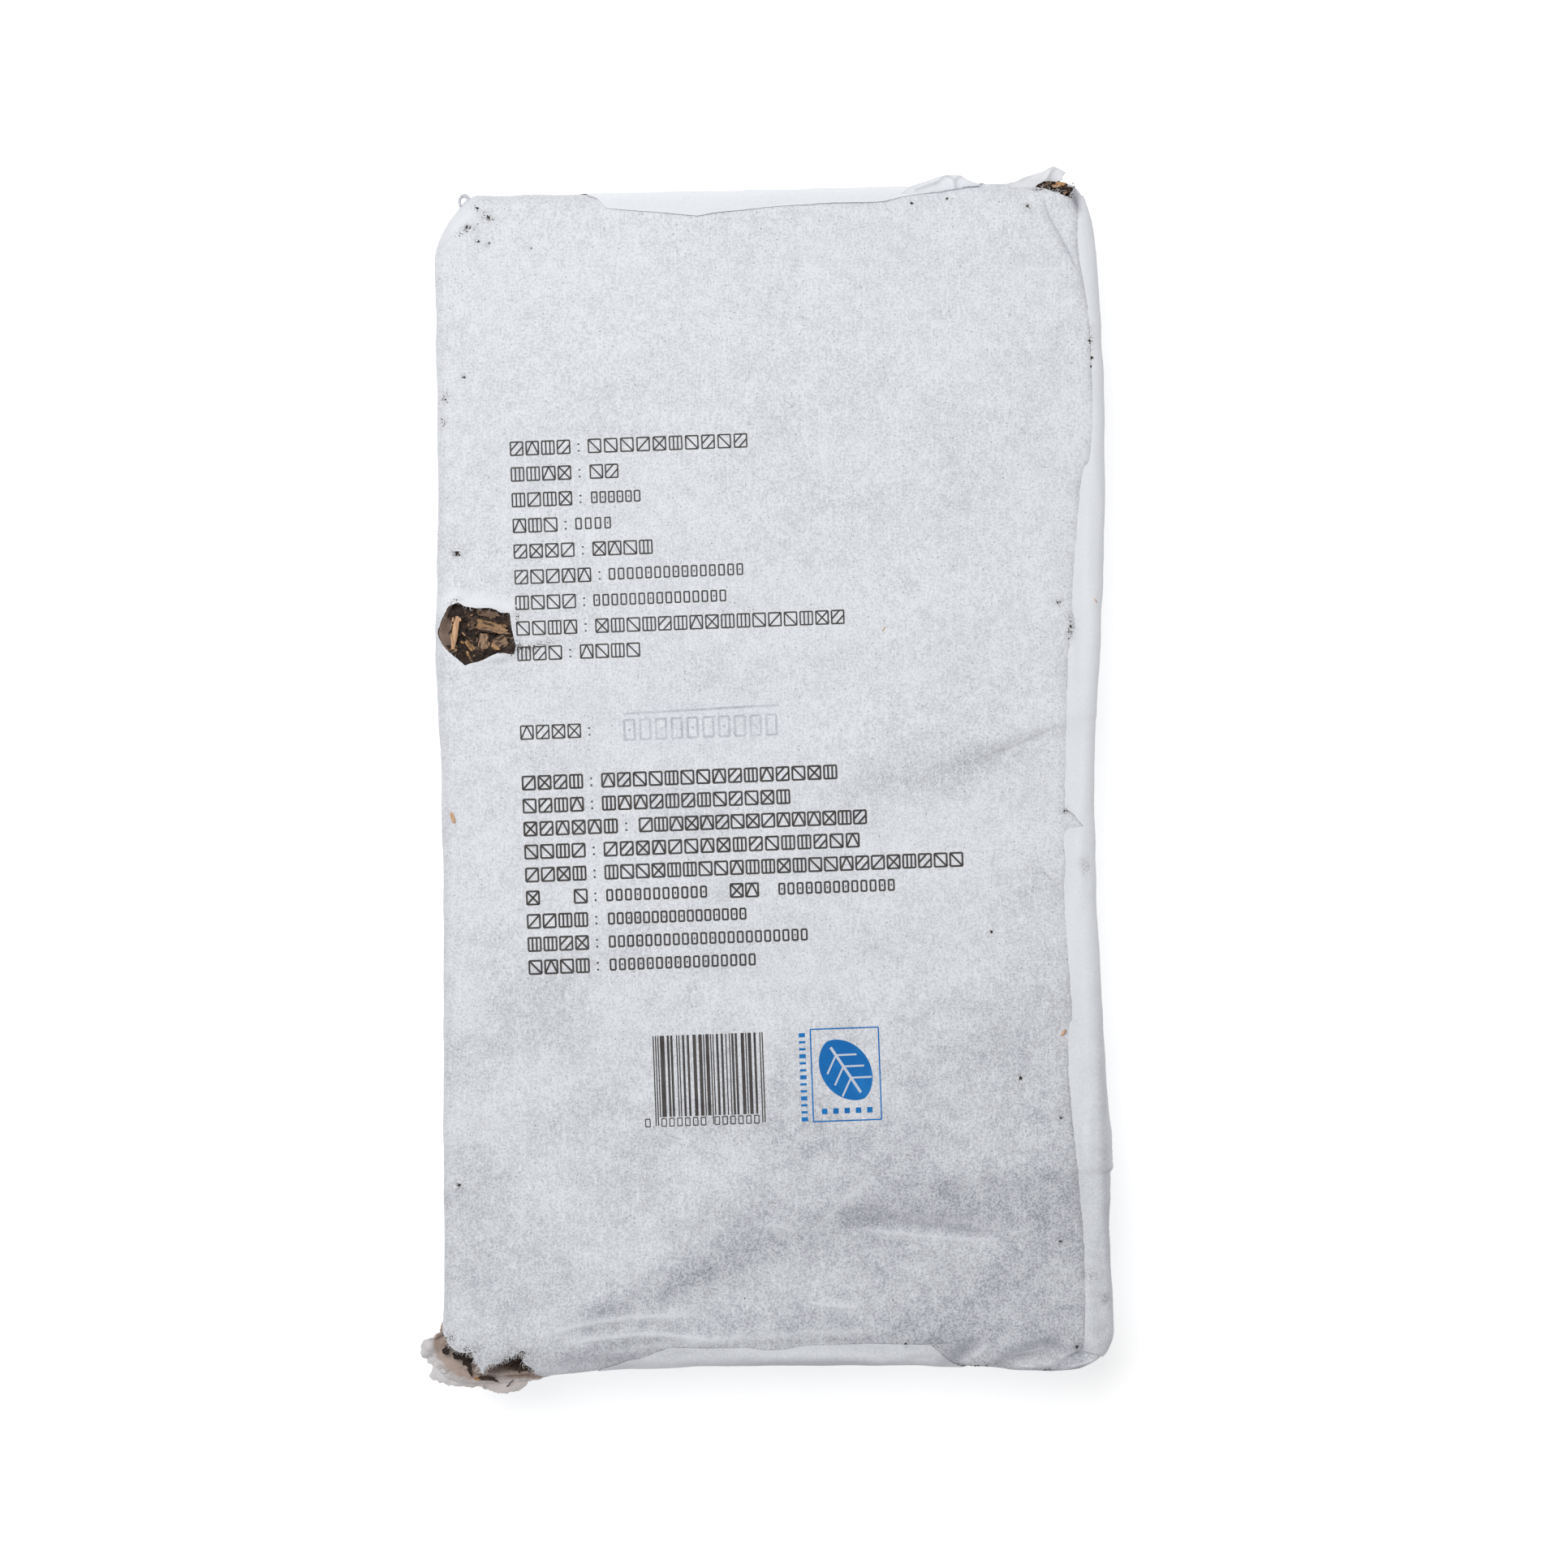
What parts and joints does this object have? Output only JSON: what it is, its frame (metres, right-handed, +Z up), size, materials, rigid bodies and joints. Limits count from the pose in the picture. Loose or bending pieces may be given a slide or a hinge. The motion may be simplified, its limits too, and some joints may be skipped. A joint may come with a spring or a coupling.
{
  "type": "fu brick tea",
  "caption": "Flat pressed brick of dark tea in a parcel-folded wrapper of thin white paper, torn at one long edge and at corners so that leaves and stems show.",
  "frame": {"origin": "middle of the flat underside", "axes": "+X across the pack, +Y along it towards the head end, +Z up out of the printed face"},
  "size_m": [0.1508, 0.2715, 0.032],
  "materials": {
    "tea": "pressed dry tea leaves and stems, rough and matte",
    "paper": "thin fibrous uncoated paper, matte, with dark print"
  },
  "bodies": {
    "root": {"tea_brick": "tea", "paper_wrapper": "paper"}
  },
  "joints": []
}
